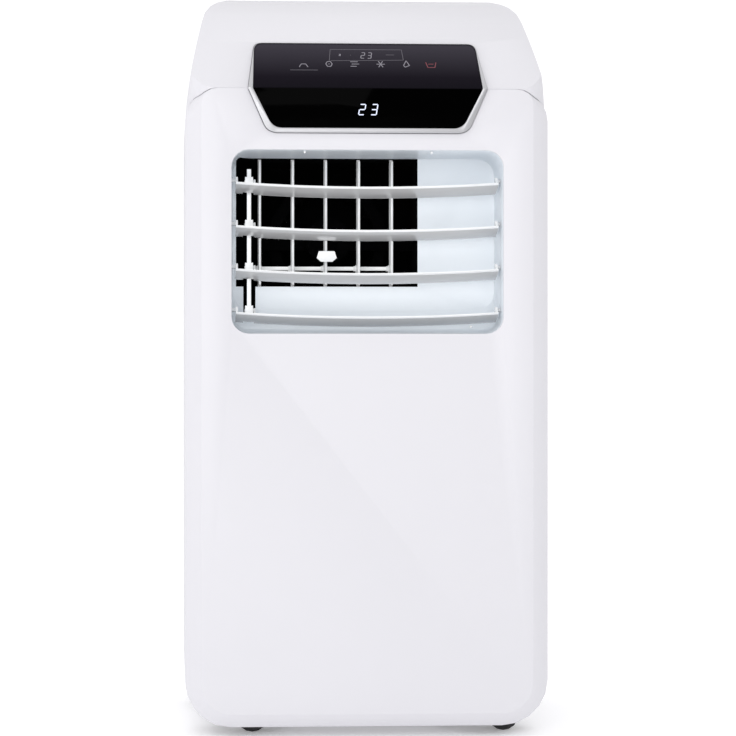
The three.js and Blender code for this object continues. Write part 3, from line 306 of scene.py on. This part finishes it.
def merged_copy(node, name):
    source = frame["nodes"][node]
    piece = bpy.data.objects.new(name, source.data.copy())
    bpy.context.scene.collection.objects.link(piece)
    mesh = bmesh.new()
    mesh.from_mesh(piece.data)
    bmesh.ops.remove_doubles(mesh, verts=mesh.verts, dist=SAME_POINT)
    bmesh.ops.dissolve_limit(mesh, angle_limit=math.radians(FLAT_DEGREES), verts=mesh.verts, edges=mesh.edges)
    mesh.to_mesh(piece.data)
    mesh.free()
    piece.data.materials.clear()
    return piece


def stand_for(piece, node, material):
    piece.data.materials.clear()
    piece.data.materials.append(material)
    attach(piece, BODY_OF[node])
    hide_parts(node)


def soften(node, material, bevel_mm=0.5, segments=2, angle=30, smooth_angle=35):
    piece = merged_copy(node, node + "_finish")
    bevel = piece.modifiers.new("edge", "BEVEL")
    bevel.width = bevel_mm * MM
    bevel.segments = segments
    bevel.limit_method = "ANGLE"
    bevel.angle_limit = math.radians(angle)
    apply_modifiers(piece)
    smooth(piece, smooth_angle)
    stand_for(piece, node, material)
    return piece


def second_finish(piece, material, wanted):
    """Another material on the faces that the test picks."""
    piece.data.materials.append(material)
    for face in piece.data.polygons:
        if wanted(face):
            face.material_index = 1


FRONT_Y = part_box("front_panel")[0][1]
RECESS_Y = FRONT_Y + 50 * MM  # the duct's back wall
UNDERSIDE = -0.85  # a face that leans down at least this much is a louvre's underside
THIN_EDGE = 0.3  # bevels, in millimetres
CASTOR_EDGE = 0.6
SOFTENED = {  # finish, bevel
    "front_panel": (white_abs, 0.5),
    "top_cover": (white_abs, 0.5),
    "rear_housing": (white_abs, 0.8),
    "base_pan": (white_abs, 0.8),
    "control_bezel": (plated_trim, 0.18),
    "control_lens": (painted_reflection_lens, 0.5),
    "outlet_duct": (duct_abs, 0.6),
    "exhaust_collar": (white_abs, 0.8),
    "upper_intake_grille": (white_abs, 0.5),
    "lower_intake_grille": (white_abs, 0.5),
    "cable_gland": (black_abs, 0.4),
    "drain_cap_upper": (grey_abs, 0.8),
    "drain_cap_lower": (grey_abs, 0.8),
    # The link rod and bar take the vanes' painted glow.
    "louvre_link_rod": (vane_painted_glow, 0.9),
    "vane_link_bar": (vane_painted_glow, 0.4),
    "base_bolt_left": (zinc_steel, 0.5),
    "base_bolt_right": (zinc_steel, 0.5),
}
for node, (material, width) in SOFTENED.items():
    soften(node, material, width)
for number in range(1, 5):
    blade = soften(f"louvre_{number}", louvre_abs, THIN_EDGE)
    # The undersides take the painted shade.
    second_finish(blade, louvre_painted_shade, lambda face: face.normal.z < UNDERSIDE)
    soften(f"rear_screw_{number}", zinc_steel, THIN_EDGE)
duct = bpy.data.objects["outlet_duct_finish"]
# The duct's faces deeper than its back wall take the painted black shade.
second_finish(duct, cavity_painted_shade, lambda face: face.center.y > RECESS_Y + 1 * MM)
# The vanes take the plastic with the painted glow.
for number in range(1, 6):
    soften(f"vane_{number}", vane_painted_glow, THIN_EDGE)
for node in frame["nodes"]:
    if node.startswith("castor_"):
        soften(node, castor_nylon, CASTOR_EDGE)

# %% [markdown]
# What sits inside is seen only through the outlet, the grilles and the exhaust. Those solids keep their shape and
# take a finish of their own.

# %% Finishes of the inside pieces
INSIDE = {
    "air_filter": filter_weave,
    "evaporator_coil": coil_fins,
    "condenser_coil": coil_fins,
    "compressor": black_enamel,
    "partition_plate": rolled_aluminium,
    "run_capacitor": rolled_aluminium,
    "electrical_box": grey_abs,
    "drip_tray": grey_abs,
    # The evaporator fan parts, seen through the outlet, take the same black as the cavity's painted shade.
    "evaporator_fan_scroll": cavity_painted_shade,
    "condenser_fan_scroll": grey_abs,
    "evaporator_fan_wheel": cavity_painted_shade,
    "condenser_fan_wheel": black_abs,
    "evaporator_fan_motor": cavity_painted_shade,
    "condenser_fan_motor": zinc_steel,
    "discharge_pipe": drawn_copper,
    "suction_pipe": drawn_copper,
    "control_board": board_laminate,
    "display_module": black_abs,
}
for node, material in INSIDE.items():
    target = frame["nodes"][node]
    target.data.materials.clear()
    target.data.materials.append(material)
print("inside pieces:", len(INSIDE))

# %% [markdown]
# The lens carries a display and a row of printed touch marks. Each mark is a set of thin strokes laid on the lens, so
# it keeps its place on the folded surface. The marks are plain shapes without words, and the display shows a number.

# %% Display and printed marks
SEAM = 606  # millimetres, where the lens folds
SLOPE = 39 / 48  # the upper facet leans back by this much for each unit of height
LENS_PROUD = 1.1
STROKE_THICK = 0.12


def on_lens(x, z):
    """A point on the lens's face, in metres, and the outward direction there."""
    if z > SEAM:
        lean = math.hypot(SLOPE, 1)
        y = (z - SEAM) * SLOPE - LENS_PROUD * lean
        return Vector((x, y, z)) * MM + Vector((0, FRONT_Y, 0)), Vector((0, -1 / lean, SLOPE / lean))
    return Vector((x, -LENS_PROUD, z)) * MM + Vector((0, FRONT_Y, 0)), Vector((0, -1, 0))


def add_stroke(start, end, width):
    (a, outward), (b, _) = on_lens(*start), on_lens(*end)
    along = (b - a).normalized()
    turn = Matrix((along, outward.cross(along), outward)).transposed().to_euler()
    bpy.ops.mesh.primitive_cube_add(size=1, location=(a + b) / 2, rotation=turn)
    stroke = bpy.context.object
    stroke.scale = ((b - a).length + width * MM * 0.6, width * MM, STROKE_THICK * MM)
    bpy.ops.object.transform_apply(location=True, rotation=True, scale=True)
    return stroke


def add_print(name, strokes, width, material, node="control_lens"):
    pieces = [add_stroke(line[:2], line[2:], width) for line in strokes]
    bpy.ops.object.select_all(action="DESELECT")
    for piece in pieces:
        piece.select_set(True)
    bpy.context.view_layer.objects.active = pieces[0]
    bpy.ops.object.join()
    mark = bpy.context.object
    mark.name = name
    only(mark)
    bpy.ops.object.transform_apply(location=True, rotation=True, scale=True)
    mark.data.materials.clear()
    mark.data.materials.append(material)
    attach(mark, BODY_OF[node])
    return mark


DIGIT = {"wide": 5.2, "high": 9.6, "slant": 1.6}
SEGMENT_GAP = {"level": 0.13, "upright": 0.104}  # left open at each end of a segment, as a share of its length
SEGMENTS = {  # corners of each segment as shares of the digit's width and height
    "top": (0, 1, 1, 1),
    "upper_right": (1, 1, 1, 0.5),
    "middle": (0, 0.5, 1, 0.5),
    "lower_left": (0, 0.5, 0, 0),
    "lower_right": (1, 0.5, 1, 0),
    "bottom": (0, 0, 1, 0),
}


def digit(left, low, lit, size=1.0):
    """The strokes of one seven-segment digit, leaning as such displays do."""
    lines = []
    for key in lit:
        x0, z0, x1, z1 = SEGMENTS[key]
        dx, dz = (x1 - x0) * SEGMENT_GAP["level"], (z1 - z0) * SEGMENT_GAP["upright"]
        ends = ((x0 + dx, z0 + dz), (x1 - dx, z1 - dz))
        line = []
        for share_x, share_z in ends:
            across = share_x * DIGIT["wide"] + share_z * DIGIT["slant"]
            line += [left + across * size, low + share_z * DIGIT["high"] * size]
        lines.append(tuple(line))
    return lines


TWO = ("top", "upper_right", "middle", "lower_left", "bottom")
THREE = ("top", "upper_right", "middle", "lower_right", "bottom")
DIGITS_LOW = 581.6
LINE = {"digits": 0.95, "frame": 0.55, "marks": 0.75}  # stroke widths
add_print("display_digits", digit(-8.9, DIGITS_LOW, TWO) + digit(2.4, DIGITS_LOW, THREE), LINE["digits"], lit_segment)

FAINT = [
    # the slider's frame
    (-34.5, 635, -33, 647), (-33, 647, 34.5, 647), (34.5, 647, 35.5, 636), (35.5, 636, -33, 635),
    (-25, 641, -23.4, 641), (-14.4, 641, -13.8, 641), (19.5, 641.5, 27, 641.5),
    # the first mark's long underline
    (-71.5, 625, -46, 625),
]
DIAL = ((-3, 0), (-1.5, 2.6), (1.5, 2.6), (3, 0), (1.5, -2.6), (-1.5, -2.6))
DIAL_X, DIAL_Z = -35, 631.5
SMALL = 0.62  # the slider's number, against the display's
TICK = [(-24.6, 642, -23.8, 640.2), (-23.4, 642, -24.8, 640.4)]
SLIDER_NUMBER = digit(-4.6, 637.8, TWO, SMALL) + digit(1.8, 637.8, THREE, SMALL)
DOME = [(-63, 628.4, -61, 631.4), (-61, 631.4, -57, 631.4), (-57, 631.4, -55, 628.4)]
RING = [
    (DIAL_X + x0, DIAL_Z + z0, DIAL_X + x1, DIAL_Z + z1)
    for (x0, z0), (x1, z1) in zip(DIAL, DIAL[1:] + DIAL[:1])
]
DOT = [(DIAL_X - 0.4, DIAL_Z, DIAL_X + 0.4, DIAL_Z)]
WAVES = [(-14.6, 634, -8, 634), (-13.4, 631.6, -6.8, 631.6), (-14.6, 629.2, -9.4, 629.2)]
FLAKE = [(10, 631.6, 17.4, 631.6), (11.8, 628.6, 15.6, 634.6), (15.6, 628.6, 11.8, 634.6)]
DROP = [
    (38, 635.4, 35.2, 630.4), (38, 635.4, 40.8, 630.4),
    (35.2, 630.4, 36.6, 628.6), (36.6, 628.6, 40.8, 630.4),
]
BRIGHT = TICK + SLIDER_NUMBER + DOME + RING + DOT + WAVES + FLAKE + DROP
TRAY = [(56.5, 633.6, 58, 628.4), (58, 628.4, 64.6, 628.4), (64.6, 628.4, 66, 633.6), (58.8, 632, 63.4, 632)]
add_print("printed_frame", FAINT, LINE["frame"], faint_ink)
add_print("printed_marks", BRIGHT, LINE["marks"], white_ink)
add_print("printed_red_mark", TRAY, LINE["marks"], red_ink)

# %% [markdown]
# A white tongue closes the seam between the front panel and the cap, so the joint reads as a fine line and no light
# leaks through it. Small round pips stand in the outlet, where the mould's pins pushed the duct out.

# %% Seam tongue and mould pips
TONGUE_END = 29  # from the cabinet's side
TONGUE_BACK = 1.35  # behind the panel's face
TONGUE_RAISED = 0.15  # above the seam
TONGUE_SIZE = (1.5, 1.6)
PIP_RADIUS = 1.3
PIPS = [(-58.5, 547.6, 8), (60.5, 547.6, 8), (99, 385.0, 20)]  # x, z, depth behind the panel's face


def add_tongue():
    width = 2 * (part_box("front_panel")[1][0] - TONGUE_END * MM)
    deep, high = TONGUE_SIZE
    bpy.ops.mesh.primitive_cube_add(size=1, location=(0, FRONT_Y + TONGUE_BACK * MM, (SEAM + TONGUE_RAISED) * MM))
    tongue = bpy.context.object
    tongue.scale = (width, deep * MM, high * MM)
    return tongue


def finish_extra(piece, name, node, material):
    piece.name = name
    only(piece)
    bpy.ops.object.transform_apply(location=True, rotation=True, scale=True)
    piece.data.materials.clear()
    piece.data.materials.append(material)
    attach(piece, BODY_OF[node])


finish_extra(add_tongue(), "seam_tongue", "top_cover", white_abs)
for number, (x, z, depth) in enumerate(PIPS, 1):
    bpy.ops.mesh.primitive_uv_sphere_add(radius=PIP_RADIUS * MM, segments=16, ring_count=8,
                                         location=(x * MM, FRONT_Y + depth * MM, z * MM))
    pip = bpy.context.object
    smooth(pip)
    finish_extra(pip, f"duct_pip_{number}", "outlet_duct", louvre_abs)

# %% [markdown]
# A product shot of a white thing needs a white room. The floor sweeps up into a wall, so there is no horizon, and
# large soft lights keep shadows weak. The left light is a little stronger, which shades the right chamfer.

# %% Floor and light
FLOOR_WIDTH = 16.0
WALL_BACK = 5.0  # behind the cabinet
SWEEP_RADIUS = 1.5
LIGHTS_AIM = (0, 0, 0.35)  # the middle of the cabinet
ROOM_LIGHT = 0.85
LIGHTS = [
    # name, place, size, power
    ("front light", (-0.5, -2.5, 0.9), 1.2, 16),
    ("left light", (-2.6, -0.8, 1.2), 1.6, 7),
    ("top light", (0.0, -0.2, 2.8), 2.0, 9),
]


def add_floor():
    material, tree, shader = new_material("pale studio paper")
    shader.inputs["Base Color"].default_value = linear("#f4f4f5")
    shader.inputs["Roughness"].default_value = 0.9
    shader.inputs["Emission Color"].default_value = (1.0, 1.0, 1.0, 1.0)
    shader.inputs["Emission Strength"].default_value = 0.2
    bpy.ops.mesh.primitive_plane_add(size=FLOOR_WIDTH, location=(0, WALL_BACK - FLOOR_WIDTH / 2, 0))
    floor = bpy.context.object
    floor.name = "floor"
    only(floor)
    bpy.ops.object.mode_set(mode="EDIT")
    bpy.ops.mesh.select_all(action="DESELECT")
    bpy.ops.object.mode_set(mode="OBJECT")
    for edge in floor.data.edges:
        edge.select = all(floor.data.vertices[i].co.y > FLOOR_WIDTH / 2 - 0.1 for i in edge.vertices)
    bpy.ops.object.mode_set(mode="EDIT")
    bpy.ops.mesh.select_mode(type="EDGE")
    bpy.ops.mesh.extrude_region_move(TRANSFORM_OT_translate={"value": (0, 0, FLOOR_WIDTH / 2)})
    bpy.ops.object.mode_set(mode="OBJECT")
    sweep = floor.modifiers.new("sweep", "BEVEL")
    sweep.width = SWEEP_RADIUS
    sweep.segments = 16
    apply_modifiers(floor)
    smooth(floor)
    floor.data.materials.append(material)


def add_lights():
    for name, place, size, power in LIGHTS:
        bpy.ops.object.light_add(type="AREA", location=place)
        light = bpy.context.object
        light.name = name
        light.data.size = size
        light.data.energy = power
        aim = Vector(LIGHTS_AIM) - Vector(place)
        light.rotation_euler = aim.to_track_quat("-Z", "Y").to_euler()
    world = bpy.context.scene.world or bpy.data.worlds.new("studio")
    bpy.context.scene.world = world
    world.use_nodes = True
    background = world.node_tree.nodes["Background"]
    background.inputs["Color"].default_value = (1.0, 1.0, 1.0, 1.0)
    background.inputs["Strength"].default_value = ROOM_LIGHT


add_floor()
add_lights()
bpy.context.scene.view_settings.view_transform = "Standard"
